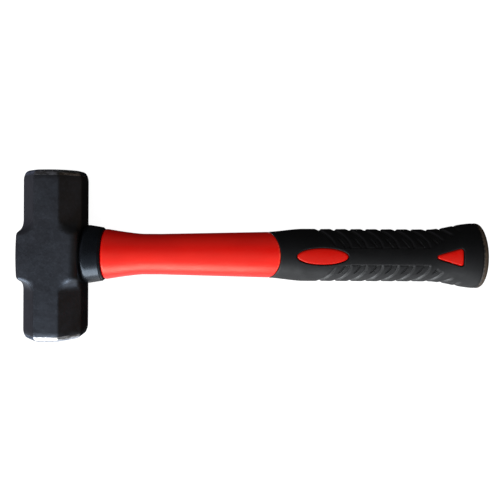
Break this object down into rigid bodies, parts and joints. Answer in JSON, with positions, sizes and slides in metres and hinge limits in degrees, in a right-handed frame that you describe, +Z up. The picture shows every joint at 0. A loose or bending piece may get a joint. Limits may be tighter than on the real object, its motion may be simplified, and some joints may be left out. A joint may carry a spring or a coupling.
{
  "type": "lump hammer",
  "caption": "Lump hammer with a forged double-faced steel head, a red moulded fibreglass-cored handle and a ribbed black rubber grip.",
  "frame": {"origin": "centre of the head's lower side flat, on the floor plane, straight below the crossing of the head's axis and the handle's axis", "axes": "+X along the handle from the head to the butt, +Y along the head from one striking face to the other, +Z up out of the upper side flat; the hammer lies on its side"},
  "size_m": [0.3028, 0.111, 0.038],
  "materials": {
    "head_steel": "dark forged and oiled steel, satin, with bright ground bevels and striking faces",
    "fibreglass": "sawn end of a fibreglass rod, glassy and slightly yellow",
    "resin": "cast amber epoxy, glossy",
    "collar_plastic": "black moulded plastic, semi-gloss",
    "jacket_plastic": "red moulded polypropylene, satin gloss",
    "grip_rubber": "black moulded thermoplastic rubber, matte with fine texture"
  },
  "bodies": {
    "root": {"head": "head_steel", "core_rod": "fibreglass", "eye_resin": "resin", "neck_collar": "collar_plastic", "handle_jacket": "jacket_plastic", "grip_sleeve": "grip_rubber"}
  },
  "joints": []
}
